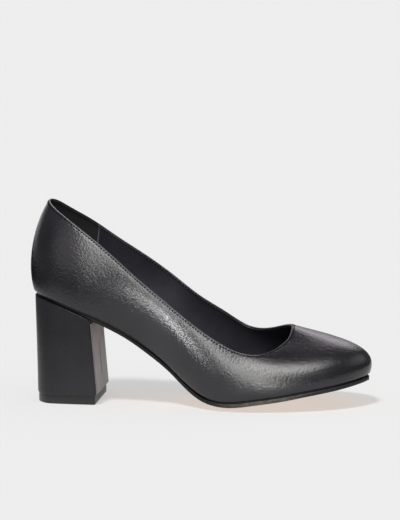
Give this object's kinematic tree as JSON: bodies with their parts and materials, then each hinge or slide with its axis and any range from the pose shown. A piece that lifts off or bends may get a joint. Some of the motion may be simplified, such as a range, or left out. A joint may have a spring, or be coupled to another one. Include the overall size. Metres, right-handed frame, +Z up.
{
  "type": "block heel pump",
  "caption": "Women's leather court shoe for the right foot, with a covered block heel, a deep round throat and a low rounded toe. It stands empty on its heel and sole.",
  "frame": {"origin": "middle of the heel top piece's face on the floor", "axes": "+X to the toe, +Y to the inner (medial) side of the foot, +Z up"},
  "size_m": [0.2224, 0.0793, 0.1311],
  "materials": {
    "upper_leather": "satin black, fine grain",
    "sock_leather": "matte black lining",
    "sole_leather": "smooth tan sole, edge inked black",
    "heel_leather": "satin black, fine grain",
    "top_piece_rubber": "matte black"
  },
  "bodies": {
    "root": {"upper": "upper_leather", "insole": "sock_leather", "outsole": "sole_leather", "heel_block": "heel_leather", "breast_cover": "heel_leather", "top_piece": "top_piece_rubber"}
  },
  "joints": []
}
